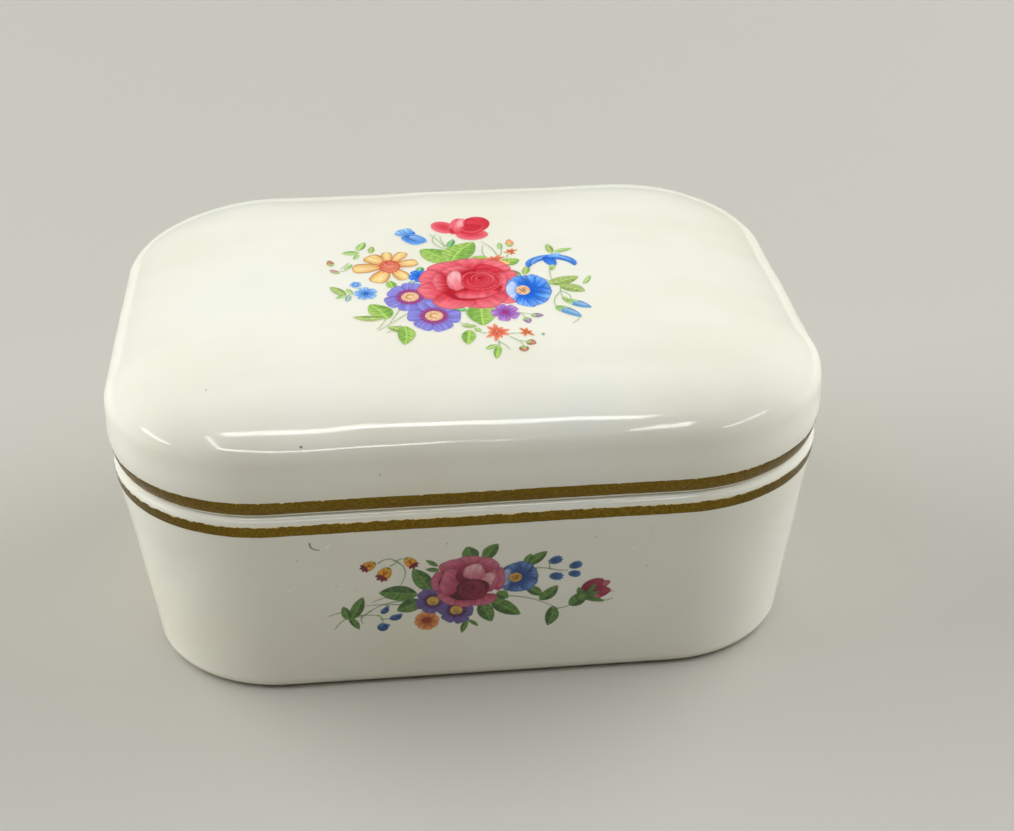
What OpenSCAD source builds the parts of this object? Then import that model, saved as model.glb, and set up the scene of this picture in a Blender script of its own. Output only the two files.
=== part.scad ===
// Lift-off lid porcelain trinket box.
// Origin: middle of the underside. +X runs along the length, -Y is the front and +Z is up.
// Every wall is one outline in (radius, height), carried round a rectangle of corner centres.

/* [Box] */
// Length over the rim of the base
box_l = 110; // [90:1:130]
// Depth over the rim of the base, front to back
box_w = 90; // [75:1:100]
// Corner radius of the rim in plan
corner_r = 25; // [20:0.5:30]
// Height of the rim, where the lid sits
seam_h = 34; // [26:0.5:37.5]
// Height over everything, lid on
total_h = 53; // [49.5:0.5:66]
// How far each wall leans in from the rim to the foot
wall_taper = 4.5; // [1:0.5:6]
// Rounding where the wall meets the underside
foot_edge_r = 2.5; // [1.5:0.5:3]
// Rounding of the rim's outer edge
rim_edge_r = 1.3; // [0.8:0.1:1.3]
// Thickness of the fired wall
wall_t = 3.4; // [3:0.1:4]
// Rounding of the rim's inner edge
mouth_edge_r = 0.8; // [0.4:0.1:1]
// Thickness of the floor over the underside's recess
floor_t = 3.6; // [3:0.1:5]
// Rounding where the inside wall meets the floor
well_edge_r = 5; // [3:0.5:7]

/* [Foot] */
// Width of the flat, unglazed ring that the box stands on
foot_ring_w = 3; // [2.5:0.5:4]
// Depth of the recess inside the ring
foot_recess = 1; // [0.5:0.1:1.5]

/* [Lid] */
// How far the lid's widest level stands out past the rim, each side
lid_over = 0.3; // [0:0.1:1]
// Height of the lid's widest level over the seam
bulge_h = 5.2; // [4.2:0.1:6]
// How far the lid's wall tucks in from there to the seam
bulge_in = 1.2; // [0.6:0.1:1.6]
// Height of the domed shoulder and top
dome_h = 10.2; // [8:0.1:12]
// Rounding of the lid's lower outer edge
lip_edge_r = 0.3; // [0.1:0.05:0.3]
// How far the locating flange reaches into the base
flange_depth = 2.5; // [2:0.1:4]
// Thickness of the flange
flange_t = 2.2; // [2:0.1:3]
// Gap between the flange and the base's inside wall, at the rim
flange_gap = 1; // [0.8:0.1:1.5]

/* [Gilding] */
// Height of the lower edge of the lid's gilt line over the seam
lid_gilt_low = 0.35; // [0.35:0.05:1.2]
// Width of the lid's gilt line
lid_gilt_w = 2.5; // [1:0.05:2.5]
// Distance from the seam down to the top of the base's gilt line
base_gilt_drop = 1.3; // [1.3:0.1:3]
// Width of the base's gilt line
base_gilt_w = 2.0; // [0.8:0.1:3]
// Thickness of the gilding
gilt_t = 0.1; // [0.06:0.02:0.2]

/* [Hidden] */
$fn = 96;
porcelain = "#f1eedd";
gilt = "#8a6420";
arc_steps = 10;
over = 1; // how far a cutting shape runs past what it cuts
plain_h = 0.3; // clear wall over the lid's gilt line before the bulge goes on
flare_h = 1.5; // height over the seam where the inside of the lid starts to widen

// The rectangle of corner centres
core_x = box_l / 2 - corner_r;
core_y = box_w / 2 - corner_r;

// Base
function wall_r(z) = corner_r - wall_taper * (1 - z / seam_h);
foot_r = wall_r(foot_edge_r) - foot_edge_r;
floor_h = foot_recess + floor_t;
mouth_r = corner_r - wall_t;

// Lid
lid_r = corner_r + lid_over;
wide_h = seam_h + bulge_h;
shoulder_h = total_h - dome_h;
bulge_r = (bulge_h * bulge_h + bulge_in * bulge_in) / (2 * bulge_in);
function bulge_wall_r(z) = lid_r - bulge_r + sqrt(bulge_r * bulge_r - (wide_h - z) * (wide_h - z));
flange_r = mouth_r - flange_gap;
flange_in_r = flange_r - flange_t;
cavity_r = lid_r - wall_t;

// Heights of the gilt lines
lid_gilt_h = [seam_h + lid_gilt_low, seam_h + lid_gilt_low + lid_gilt_w];
base_gilt_h = [seam_h - base_gilt_drop - base_gilt_w, seam_h - base_gilt_drop];

// Points on an arc about [r, z]; the angles run from a0 to a1
function arc(r, z, rx, rz, a0, a1) =
    [for (i = [0:arc_steps]) let (a = a0 + (a1 - a0) * i / arc_steps) [r + rx * cos(a), z + rz * sin(a)]];

// Points on the lid's bulging wall from height z0 to z1, moved out by t
function bulge(z0, z1, t = 0) =
    [for (i = [0:arc_steps]) let (z = z0 + (z1 - z0) * i / arc_steps) [bulge_wall_r(z) + t, z]];

// The ring of an outline: a quarter turn at each corner and a straight run along each side
module ring(outline) {
    for (x = [0, 1], y = [0, 1]) mirror([x, 0, 0]) mirror([0, y, 0])
        translate([core_x, core_y, 0]) rotate_extrude(angle = 90) polygon(outline);
    for (y = [0, 1]) mirror([0, y, 0])
        translate([-core_x, core_y, 0]) rotate([90, 0, 90]) linear_extrude(2 * core_x) polygon(outline);
    for (x = [0, 1]) mirror([x, 0, 0])
        translate([core_x, core_y, 0]) rotate([90, 0, 0]) linear_extrude(2 * core_y) polygon(outline);
}

// A full solid: the ring of an outline that starts and ends on radius 0, and the block between its sides
module pillow(outline) {
    low = outline[0][1];
    high = outline[len(outline) - 1][1];
    ring(outline);
    translate([-core_x, -core_y, low]) cube([2 * core_x, 2 * core_y, high - low]);
}

module base_outside() {
    rim_z = seam_h - rim_edge_r;
    pillow(concat(
        [[0, 0]],
        arc(foot_r, foot_edge_r, foot_edge_r, foot_edge_r, -90, 0),
        arc(wall_r(rim_z) - rim_edge_r, rim_z, rim_edge_r, rim_edge_r, 0, 90),
        [[0, seam_h]]
    ));
}

module base_well() {
    edge_z = floor_h + well_edge_r;
    pillow(concat(
        [[0, floor_h]],
        arc(wall_r(edge_z) - wall_t - well_edge_r, edge_z, well_edge_r, well_edge_r, -90, 0),
        arc(mouth_r + mouth_edge_r, seam_h - mouth_edge_r, mouth_edge_r, mouth_edge_r, 180, 90),
        [[mouth_r + mouth_edge_r, seam_h + over], [0, seam_h + over]]
    ));
}

module foot_hollow() {
    hollow_r = foot_r - foot_ring_w;
    pillow([[0, -over], [hollow_r, -over], [hollow_r, 0], [hollow_r - foot_recess, foot_recess], [0, foot_recess]]);
}

module box_base() {
    color(porcelain) difference() {
        base_outside();
        base_well();
        foot_hollow();
    }
}

module lid_outside() {
    lip_z = seam_h + lip_edge_r;
    pillow(concat(
        [[0, seam_h - flange_depth], [flange_r, seam_h - flange_depth], [flange_r, seam_h]],
        arc(bulge_wall_r(lip_z) - lip_edge_r, lip_z, lip_edge_r, lip_edge_r, -90, 0),
        bulge(lid_gilt_h[0], lid_gilt_h[1]),
        bulge(lid_gilt_h[1] + plain_h, wide_h),
        arc(0, shoulder_h, lid_r, dome_h, 0, 90)
    ));
}

module lid_cavity() {
    low = seam_h - flange_depth - over;
    pillow(concat(
        [[0, low], [flange_in_r, low], [flange_in_r, seam_h + flare_h], [cavity_r, wide_h]],
        arc(0, shoulder_h, cavity_r, dome_h - wall_t, 0, 90)
    ));
}

module lid() {
    color(porcelain) difference() {
        lid_outside();
        lid_cavity();
    }
}

module base_gilt_band() {
    color(gilt) ring([
        [wall_r(base_gilt_h[0]), base_gilt_h[0]],
        [wall_r(base_gilt_h[0]) + gilt_t, base_gilt_h[0]],
        [wall_r(base_gilt_h[1]) + gilt_t, base_gilt_h[1]],
        [wall_r(base_gilt_h[1]), base_gilt_h[1]]
    ]);
}

module lid_gilt_band() {
    color(gilt) ring(concat(
        bulge(lid_gilt_h[0], lid_gilt_h[1], gilt_t),
        bulge(lid_gilt_h[1], lid_gilt_h[0])
    ));
}

box_base();
lid();
base_gilt_band();
lid_gilt_band();
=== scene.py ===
"""Porcelain trinket box: glazed shells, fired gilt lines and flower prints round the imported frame."""
import math
from types import SimpleNamespace

import bmesh
import bpy
import numpy as np
from mathutils import Matrix, Vector


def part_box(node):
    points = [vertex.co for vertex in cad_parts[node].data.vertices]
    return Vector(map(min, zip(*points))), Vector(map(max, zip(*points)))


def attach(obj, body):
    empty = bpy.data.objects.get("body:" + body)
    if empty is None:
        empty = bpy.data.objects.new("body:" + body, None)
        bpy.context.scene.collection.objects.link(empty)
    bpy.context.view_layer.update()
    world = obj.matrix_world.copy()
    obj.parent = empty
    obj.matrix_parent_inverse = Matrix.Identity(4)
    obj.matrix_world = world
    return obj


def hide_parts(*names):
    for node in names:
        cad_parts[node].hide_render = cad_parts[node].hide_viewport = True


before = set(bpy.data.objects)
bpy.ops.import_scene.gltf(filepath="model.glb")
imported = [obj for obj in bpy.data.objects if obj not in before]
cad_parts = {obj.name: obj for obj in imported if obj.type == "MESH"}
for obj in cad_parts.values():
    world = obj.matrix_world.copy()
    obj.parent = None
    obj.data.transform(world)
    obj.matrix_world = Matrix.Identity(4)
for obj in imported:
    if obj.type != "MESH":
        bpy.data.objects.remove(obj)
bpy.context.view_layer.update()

MM = 0.001

# ---------------------------------------------------------------- sizes, in mm, from the frame
BASE_HI = np.array(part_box("box_base")[1]) / MM
LID_LO, LID_HI = (np.array(corner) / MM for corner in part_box("lid"))
BASE_GILT_Z = [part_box("base_gilt_band")[i][2] / MM for i in (0, 1)]
LID_GILT_Z = [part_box("lid_gilt_band")[i][2] / MM for i in (0, 1)]
SEAM_Z = BASE_HI[2]
TOP_Z = LID_HI[2]
FLANGE_Z = LID_LO[2]

CORNER_R = 25.0          # plan corner radius at the rim
CORE_X, CORE_Y = 30.0, 20.0   # half sizes of the rectangle of corner centres
TAPER = 4.5              # lean of the base wall, rim to foot
FOOT_EDGE_R = 2.5
RIM_EDGE_R = 1.3
MOUTH_EDGE_R = 0.8
WALL_T = 3.4
FLOOR_T = 3.6
WELL_EDGE_R = 5.0
FOOT_RING_W = 3.0
FOOT_RECESS = 1.0
LID_R = 25.3             # plan corner radius at the lid's widest level
WIDE_Z = SEAM_Z + 5.2    # height of that level
BULGE_IN = 1.2
DOME_H = 10.2
LIP_EDGE_R = 0.3
FLANGE_R, FLANGE_IN_R = 20.6, 18.4
GILT_T, GILT_EDGE = 0.054, 0.004   # a gilt line's rise over its own edges, and theirs over the glaze
GILT_INSET = 0.05        # its edges stay this far inside the CAD ring's
PRINT_T = 0.03           # a fired print stands this far above the glaze
SHOULDER_Z = TOP_Z - DOME_H
MIDDLE_Z = 30.0          # height the cast wall's wander is measured from
BULGE_R = ((WIDE_Z - SEAM_Z) ** 2 + BULGE_IN**2) / (2 * BULGE_IN)


def wall_r(z):
    """Radius of the base's outside wall at height z."""
    return CORNER_R - TAPER * (1 - z / SEAM_Z)


def bulge_r(z):
    """Radius of the lid's lower wall at height z."""
    return LID_R - BULGE_R + math.sqrt(BULGE_R**2 - (WIDE_Z - z) ** 2)


def arc(r, z, rx, rz, start, end, steps):
    """Points on an ellipse about (r, z), from one angle to another, in degrees."""
    turns = [math.radians(start + (end - start) * i / steps) for i in range(steps + 1)]
    return [(r + rx * math.cos(t), z + rz * math.sin(t)) for t in turns]


def line(start, end, steps):
    """Points from start to end, both left out."""
    return [tuple(a + (b - a) * i / steps for a, b in zip(start, end)) for i in range(1, steps)]


# ---------------------------------------------------------------- shells
CORNER_STEPS = 28
SIDE_STEPS_X, SIDE_STEPS_Y = 40, 27


def stations(corner=CORNER_STEPS, along_x=SIDE_STEPS_X, along_y=SIDE_STEPS_Y):
    """The plan's path all round, from +X at the back: (centre x, centre y, outward x, outward y)."""
    path = []
    sides = (
        ((CORE_X, CORE_Y), 0, (-CORE_X, CORE_Y), along_x),
        ((-CORE_X, CORE_Y), 90, (-CORE_X, -CORE_Y), along_y),
        ((-CORE_X, -CORE_Y), 180, (CORE_X, -CORE_Y), along_x),
        ((CORE_X, -CORE_Y), 270, (CORE_X, CORE_Y), along_y),
    )
    for (cx, cy), first, (nx, ny), steps in sides:
        for i in range(corner):
            a = math.radians(first + 90 * i / corner)
            path.append((cx, cy, math.cos(a), math.sin(a)))
        a = math.radians(first + 90)
        for i in range(steps):
            t = i / steps
            path.append((cx + (nx - cx) * t, cy + (ny - cy) * t, math.cos(a), math.sin(a)))
    return np.array(path)


def wave(p):
    """How far the slip-cast wall wanders from true, in mm, at points p."""
    x, y, z = p[..., 0], p[..., 1], p[..., 2]
    return 0.035 * (
        np.sin(0.21 * x + 0.13 * y + 0.31 * z + 0.4)
        + np.sin(-0.17 * x + 0.26 * y + 0.19 * z + 2.1)
        + 0.6 * np.sin(0.43 * x - 0.31 * y - 0.37 * z + 1.2)
        + 0.35 * np.sin(0.11 * x + 0.71 * y + 0.53 * z)
    ) - 0.135


def moved(points):
    """Points moved out or in by the cast wall's wander, easing to none at the seam and foot."""
    away = points.copy()
    away[:, 0] -= np.clip(points[:, 0], -CORE_X, CORE_X)
    away[:, 1] -= np.clip(points[:, 1], -CORE_Y, CORE_Y)
    away[:, 2] -= MIDDLE_Z
    away /= np.linalg.norm(away, axis=1, keepdims=True) + 1e-9
    return points + away * (wave(points) * free_of_seam(points))[:, None]


def smooth(value, low, high):
    t = np.clip((value - low) / (high - low), 0, 1)
    return t * t * (3 - 2 * t)


def free_of_seam(points):
    """0 on the foot and at the seam, where the two pieces meet, and 1 where the wall can wander."""
    z = points[:, 2]
    return smooth(z, 0.5, 8) * smooth(np.abs(z - SEAM_Z), 4.5, 10)


def add_object(name, data):
    made = bpy.data.objects.new(name, data)
    bpy.context.scene.collection.objects.link(made)
    return made


class Builder:
    """Collects vertices in mm and faces, and makes one smooth mesh object of them."""

    def __init__(self):
        self.points, self.faces, self.slots = [], [], []

    def add(self, points):
        first = sum(len(p) for p in self.points)
        self.points.append(np.asarray(points, float))
        return first

    def sheet(self, points, rows, columns, closed, slot_of=None):
        """Rows x columns of points joined with quads; closed joins the last column to the first."""
        first = self.add(points)
        for i in range(rows - 1):
            slot = slot_of(i) if slot_of else 0
            for j in range(columns if closed else columns - 1):
                a, b = first + i * columns + j, first + i * columns + (j + 1) % columns
                self.faces.append((a, b, b + columns, a + columns))
                self.slots.append(slot)

    def make(self, name, materials, sharp=35.0, merge=True):
        mesh = bpy.data.meshes.new(name)
        points = np.vstack(self.points) * MM
        mesh.from_pydata(points.tolist(), [], self.faces)
        for material in materials:
            mesh.materials.append(material)
        mesh.polygons.foreach_set("material_index", self.slots)
        piece = add_object(name, mesh)
        if merge:
            work = bmesh.new()
            work.from_mesh(mesh)
            bmesh.ops.remove_doubles(work, verts=work.verts, dist=1e-7)
            bmesh.ops.dissolve_degenerate(work, edges=work.edges, dist=1e-8)
            bmesh.ops.recalc_face_normals(work, faces=work.faces)
            work.to_mesh(mesh)
            work.free()
        mesh.shade_smooth()
        mesh.set_sharp_from_angle(angle=math.radians(sharp))
        return piece


def shell(name, outline, materials, slot_of):
    """A porcelain shell: its outline, outside and in, carried round the plan, with both middles filled."""
    work = Builder()
    path = stations()
    r, z = np.array(outline).T
    points = np.empty((len(r), len(path), 3))
    points[..., 0] = path[:, 0] + r[:, None] * path[:, 2]
    points[..., 1] = path[:, 1] + r[:, None] * path[:, 3]
    points[..., 2] = z[:, None]
    work.sheet(points.reshape(-1, 3), len(r), len(path), True,
               lambda i: slot_of(outline[i], outline[i + 1]))
    for level in (z[0], z[-1]):
        x = np.linspace(CORE_X, -CORE_X, SIDE_STEPS_X + 1)
        y = np.linspace(CORE_Y, -CORE_Y, SIDE_STEPS_Y + 1)
        grid = np.stack([*np.meshgrid(x, y), np.full((len(y), len(x)), level)], -1)
        work.sheet(grid.reshape(-1, 3), len(y), len(x), False)
    work.points = [moved(points) for points in work.points]
    return work.make(name, materials)


def lid_outline():
    """The lid's section, from the top middle outside, down, under and up to the ceiling's middle."""
    lip_z = SEAM_Z + LIP_EDGE_R
    return (
        arc(0, SHOULDER_Z, LID_R, DOME_H, 90, 0, 40)
        + line((LID_R, SHOULDER_Z), (LID_R, WIDE_Z), 4)
        + [(bulge_r(z), z) for z in np.linspace(WIDE_Z, lip_z, 14)]
        + arc(bulge_r(lip_z) - LIP_EDGE_R, lip_z, LIP_EDGE_R, LIP_EDGE_R, 0, -90, 6)[1:]
        + line((bulge_r(lip_z) - LIP_EDGE_R, SEAM_Z), (FLANGE_R + 0.3, SEAM_Z), 4)
        + arc(FLANGE_R + 0.3, SEAM_Z - 0.3, 0.3, 0.3, 90, 180, 5)
        + line((FLANGE_R, SEAM_Z - 0.3), (FLANGE_R, FLANGE_Z + 0.5), 3)
        + arc(FLANGE_R - 0.5, FLANGE_Z + 0.5, 0.5, 0.5, 0, -90, 6)
        + arc(FLANGE_IN_R + 0.5, FLANGE_Z + 0.5, 0.5, 0.5, -90, -180, 6)
        + line((FLANGE_IN_R, FLANGE_Z + 0.5), (FLANGE_IN_R, SEAM_Z + 1.5), 4)
        + cavity_side()
        + arc(0, SHOULDER_Z, LID_R - WALL_T, DOME_H - WALL_T, 0, 90, 30)
    )


def cavity_side():
    """The lid's inside wall where it widens over the flange, as a soft S."""
    low, high = (FLANGE_IN_R, SEAM_Z + 1.5), (LID_R - WALL_T, SHOULDER_Z)
    steps = [i / 12 for i in range(12)]
    ease = [t * t * (3 - 2 * t) for t in steps]
    return [(low[0] + (high[0] - low[0]) * e, low[1] + (high[1] - low[1]) * t) for t, e in zip(steps, ease)]


def base_outline():
    """The base's section: the underside's middle, out, up, over the rim and down to the floor's middle."""
    rim_z = SEAM_Z - RIM_EDGE_R
    foot_r = wall_r(FOOT_EDGE_R) - FOOT_EDGE_R
    ring_r = foot_r - FOOT_RING_W
    mouth_r = CORNER_R - WALL_T
    edge_z = FOOT_RECESS + FLOOR_T + WELL_EDGE_R
    edge_r = wall_r(edge_z) - WALL_T
    return (
        [(r, FOOT_RECESS) for r in np.linspace(0, ring_r - 2 * FOOT_RECESS, 8)]
        + arc(ring_r - 2 * FOOT_RECESS, FOOT_RECESS / 2, FOOT_RECESS, FOOT_RECESS / 2, 90, 0, 6)[1:]
        + arc(ring_r, FOOT_RECESS / 2, FOOT_RECESS, FOOT_RECESS / 2, 180, 270, 6)[1:]
        + line((ring_r, 0), (foot_r, 0), 4)
        + arc(foot_r, FOOT_EDGE_R, FOOT_EDGE_R, FOOT_EDGE_R, -90, 0, 14)
        + line((wall_r(FOOT_EDGE_R), FOOT_EDGE_R), (wall_r(rim_z), rim_z), 24)
        + arc(wall_r(rim_z) - RIM_EDGE_R, rim_z, RIM_EDGE_R, RIM_EDGE_R, 0, 90, 12)
        + arc(mouth_r + MOUTH_EDGE_R, SEAM_Z - MOUTH_EDGE_R, MOUTH_EDGE_R, MOUTH_EDGE_R, 90, 180, 8)
        + line((mouth_r, SEAM_Z - MOUTH_EDGE_R), (edge_r, edge_z), 16)
        + arc(edge_r - WELL_EDGE_R, edge_z, WELL_EDGE_R, WELL_EDGE_R, 0, -90, 14)
        + [(r, edge_z - WELL_EDGE_R) for r in np.linspace(edge_r - WELL_EDGE_R, 0, 8)[1:]]
    )


# ---------------------------------------------------------------- painting
TAU = 2 * math.pi


def rgb(code):
    """Colour from six hexadecimal digits, 0 to 1 a channel."""
    return np.array([int(code[i:i + 2], 16) / 255 for i in (0, 2, 4)])


def palette(deep, mid, light, **more):
    """A flower's colours by name. Those given as hexadecimal digits are turned into numbers."""
    tones = dict(deep=deep, mid=mid, light=light, **more)
    return SimpleNamespace(**{key: rgb(tone) if isinstance(tone, str) else tone for key,
                              tone in tones.items()})


def grain(u, v, size, seed=0):
    """Smooth brush-like noise, about -1 to 1, with features size mm across."""
    rng = np.random.default_rng(seed)
    total = 0
    for _ in range(7):
        a = rng.uniform(0, TAU)
        k = TAU / (size * rng.uniform(0.7, 1.6))
        total = total + np.sin(k * (u * math.cos(a) + v * math.sin(a)) + rng.uniform(0, TAU))
    return total / 3.5


class Painting:
    """A transfer print as a grid of colours and how much each covers the glaze. Sizes in mm."""

    def __init__(self, low, high, step):
        self.low, self.step = low, step
        nu, nv = (int(round((b - a) / step)) + 1 for a, b in zip(low, high))
        self.u, self.v = np.meshgrid(low[0] + step * np.arange(nu), low[1] + step * np.arange(nv))
        self.colour = np.zeros((nv, nu, 3))
        self.cover = np.zeros((nv, nu))
        self.middle, self.tall = 0.0, 1.0

    def window(self, u0, u1, v0, v1):
        """The part of the grid within the limits, as slices, and its coordinates."""
        v0, v1 = (self.middle + (v - self.middle) * self.tall for v in (v0, v1))
        ends = []
        limits = ((v0, v1, self.low[1], self.u.shape[0]), (u0, u1, self.low[0], self.u.shape[1]))
        for lo, hi, start, count in limits:
            first = int(max(0, math.floor((lo - start) / self.step)))
            last = int(min(count, math.ceil((hi - start) / self.step) + 1))
            ends.append(slice(first, max(first, last)))
        part = tuple(ends)
        return part, self.u[part], self.middle + (self.v[part] - self.middle) / self.tall

    def stretch(self, middle=0.0, tall=1.0):
        """What is painted next is stretched up and down about a height."""
        self.middle, self.tall = middle, tall

    def around(self, at, reach):
        return self.window(at[0] - reach, at[0] + reach, at[1] - reach, at[1] + reach)

    def lay(self, part, mask, colour):
        """Paints colour over what is there, where mask says."""
        old = self.cover[part]
        new = mask + old * (1 - mask)
        share = mask / np.maximum(new, 1e-6)
        self.colour[part] = self.colour[part] * (1 - share[..., None]) + colour * share[..., None]
        self.cover[part] = new


def blend(low, high, share):
    return low + (high - low) * np.clip(share, 0, 1)[..., None]


def along(p, at, angle, length, width):
    """The grid about a stroke from `at`: its part, places, and shares s along and t across the stroke."""
    a = math.radians(angle)
    part, u, v = p.around(at, length + width)
    dx, dy = u - at[0], v - at[1]
    s = (dx * math.cos(a) + dy * math.sin(a)) / length
    t = (-dx * math.sin(a) + dy * math.cos(a)) / (width / 2)
    return part, u, v, s, t


def turned(u, v, at, rx, ry, turn):
    """Places as shares of an ellipse's half sizes, in its own turned directions."""
    c, s = math.cos(math.radians(turn)), math.sin(math.radians(turn))
    return (c * (u - at[0]) + s * (v - at[1])) / rx, (-s * (u - at[0]) + c * (v - at[1])) / ry


def petal(p, at, angle, length, width, inner, outer, rim=None, rim_w=0.16, rim_s=0.7, streak=0.10,
          narrow=0.75, blunt=0.45, soft=0.16, turn=0.9, wavy=0.0, seed=1, opacity=1.0):
    """One petal from its foot at `at`: inner to outer colour along it, brush streaks and a rim."""
    part, u, v, s, t = along(p, at, angle, length, width)
    inside = np.clip(s, 1e-4, 1 - 1e-4)
    peak = narrow / (narrow + blunt)
    half = inside**narrow * (1 - inside) ** blunt / (peak**narrow * (1 - peak) ** blunt)
    half = half * (1 + wavy * np.sin(inside * 21 + seed))
    d = (half - np.abs(t)) * width / 2
    d = np.minimum(d, np.minimum(s, 1 - s) * length * 1.5 + soft / 2)
    mask = smooth(d, -soft / 2, soft / 2) * ((s > 0) & (s < 1))
    colour = blend(inner, outer, inside**turn)
    lines = grain(t * 3.0, s * 0.8, 1.3, seed)
    colour = colour * (1 + streak * lines[..., None])
    if rim is not None:
        colour = blend(colour, rim, rim_s * np.exp(-np.maximum(d, 0) / (rim_w * width)))
    p.lay(part, mask * opacity, np.clip(colour, 0, 1))


def leaf(p, at, angle, length, width, light, dark, bend=0.0, veins=7, teeth=0.0, seed=1, soft=0.14):
    """A leaf with a pale midrib, side veins, one half in shade and, on rose leaves, toothed edges."""
    part, u, v, s, t = along(p, at, angle, length, width)
    t = t - bend * (s * s - s)
    inside = np.clip(s, 1e-4, 1 - 1e-4)
    half = inside**0.7 * (1 - inside) ** 0.85 / 0.345
    if teeth:
        saw = (inside * veins * 1.6 + 0.4 * np.abs(t)) % 1
        half = half * (1 - teeth * saw)
    d = (half - np.abs(t)) * width / 2
    mask = smooth(d, -soft / 2, soft / 2) * ((s > 0) & (s < 1))
    shade = 0.45 + 0.35 * np.tanh(-t * 2.2) + 0.25 * grain(u, v, 1.2, seed)
    colour = blend(light, dark, shade)
    side = np.cos(TAU * (inside * veins - np.abs(t) * 0.9))
    colour = blend(colour, dark * 0.8, 0.38 * smooth(side, 0.4, 0.98) * smooth(d, 0.05, 0.4))
    colour = blend(colour, light * 1.12, 0.8 * np.exp(-(t * width / 2 / 0.12) ** 2))
    colour = blend(colour, dark * 0.75, 0.45 * np.exp(-np.maximum(d, 0) / 0.13))
    p.lay(part, mask, np.clip(colour, 0, 1))


def stem(p, points, width, colour, opacity=0.9):
    """A stroke from the first point to the last, bent towards the one or two between, thinning to its end."""
    pts = np.array(points, float)
    n = 26
    t = np.linspace(0, 1, n)[:, None]
    if len(pts) == 3:
        path = (1 - t) ** 2 * pts[0] + 2 * t * (1 - t) * pts[1] + t * t * pts[2]
    else:
        path = (1 - t) ** 3 * pts[0] + 3 * t * (1 - t) ** 2 * pts[1]
        path = path + 3 * t * t * (1 - t) * pts[2] + t**3 * pts[3]
    lo, hi = path.min(0) - 1, path.max(0) + 1
    part, u, v = p.window(lo[0], hi[0], lo[1], hi[1])
    near = np.full(u.shape, 9.0)
    for i in range(n - 1):
        a, b = path[i], path[i + 1]
        way = b - a
        share = np.clip(((u - a[0]) * way[0] + (v - a[1]) * way[1]) / (way @ way + 1e-9), 0, 1)
        gap = np.hypot(u - a[0] - share * way[0], v - a[1] - share * way[1])
        wide = width / 2 * (1 - 0.45 * (i / n))
        near = np.minimum(near, gap - wide)
    mask = smooth(-near, -0.07, 0.07)
    tone = colour * (1 + 0.12 * grain(u, v, 0.8, 5)[..., None])
    p.lay(part, mask * opacity, np.clip(tone, 0, 1))


def disc(p, at, rx, ry, inner, outer, turn=0.0, soft=0.14, light=None, light_at=90, seed=2, mottle=0.05,
         opacity=1.0):
    """A soft ellipse, inner to outer colour, with a lit side."""
    part, u, v = p.around(at, max(rx, ry) + 0.5)
    x, y = turned(u, v, at, rx, ry, turn)
    rho = np.hypot(x, y)
    mask = smooth((1 - rho) * min(rx, ry), -soft / 2, soft / 2)
    colour = blend(inner, outer, rho**1.6)
    if light is not None:
        la = math.radians(light_at)
        colour = blend(colour, light, 0.8 * smooth(x * math.cos(la) + y * math.sin(la), 0.0, 0.95))
    colour = colour * (1 + mottle * grain(u, v, 0.5, seed)[..., None])
    p.lay(part, mask * opacity, np.clip(colour, 0, 1))


def fold(p, at, rx, ry, start, end, thick, dark, light, turn=0.0, seed=3, opacity=1.0, streak=0.08):
    """A curled petal edge: a crescent along an ellipse, dark inside and light on its outer lip."""
    part, u, v = p.around(at, max(rx, ry) + thick + 0.3)
    x, y = turned(u, v, at, rx, ry, turn)
    rho, phi = np.hypot(x, y), np.degrees(np.arctan2(y, x))
    along = ((phi - start) % 360) / (end - start)
    swell = np.sqrt(np.clip(np.sin(np.pi * np.clip(along, 0, 1)), 0, 1)) * (along <= 1)
    across = (rho - 1) * (rx + ry) / 2 / thick
    d = (swell - np.abs(across)) * thick
    mask = smooth(d, -0.07, 0.09) * (along <= 1)
    colour = blend(dark, light, (across / np.maximum(swell, 0.2) + 1) / 2)
    colour = colour * (1 + streak * grain(phi / 14, rho * 4, 1.0, seed)[..., None])
    p.lay(part, mask * opacity, np.clip(colour, 0, 1))


def dots(p, at, reach, count, size, colour, seed=4, ring=0.0, opacity=0.9):
    """Stippled dots about a place, on a ring when ring is over 0."""
    rng = np.random.default_rng(seed)
    for i in range(count):
        a = TAU * (i + rng.uniform(-0.3, 0.3)) / count
        r = reach * (ring + (1 - ring) * math.sqrt(rng.uniform(0, 1)))
        spot = (at[0] + r * math.cos(a), at[1] + r * math.sin(a))
        disc(p, spot, size, size, colour, colour, soft=0.08, opacity=opacity, mottle=0)


# ---------------------------------------------------------------- palettes
ROSE = palette("bd222e", "d93c4b", "eb757f", pale="f6b4b4")
CRIMSON = palette("740a26", "a53650", "c4687e", pale="dda9ac")
LEAF = (rgb("b3d06c"), rgb("76a548"))
LEAF_PALE = (rgb("bfd98a"), rgb("85ab5c"))
LEAF_OLIVE = (rgb("b9c97e"), rgb("8aa552"))
LEAF_TEAL = (rgb("a9c4b8"), rgb("7fa39c"))
LEAF_DEEP = (rgb("6c9142"), rgb("38592a"))
STEM_DARK = rgb("6c8450")
LEAF_COOL = (rgb("9cc98a"), rgb("4f8f54"))
STEM = rgb("86a867")
BLUE = palette("1a5ccb", "5090e6", "9cc0f0", rim=0.05, pale="c6d0f2", eye="eecfa4", seeds="cf7a52")
NAVY = palette("173a7e", "4470b0", "8ea6ce", rim=0.10, pale="a4b2cc", eye="dca93c", seeds="8a5426")
SKY = palette("2c63b8", "5c93dc", "a9cdee")
VIOLET = palette("544aa6", "7068be", "8f8bd4", heart="a83a68", eye="f6c79a", sunk=0.0)
VIOLET_DEEP = palette("3c2f66", "58467f", "6d5c98", heart="4c2446", eye="dcae4e", sunk=0.9)
EMBER = palette("b8432c", "e07a4c", "f3bd5e", pale="f8dc8e")
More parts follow.
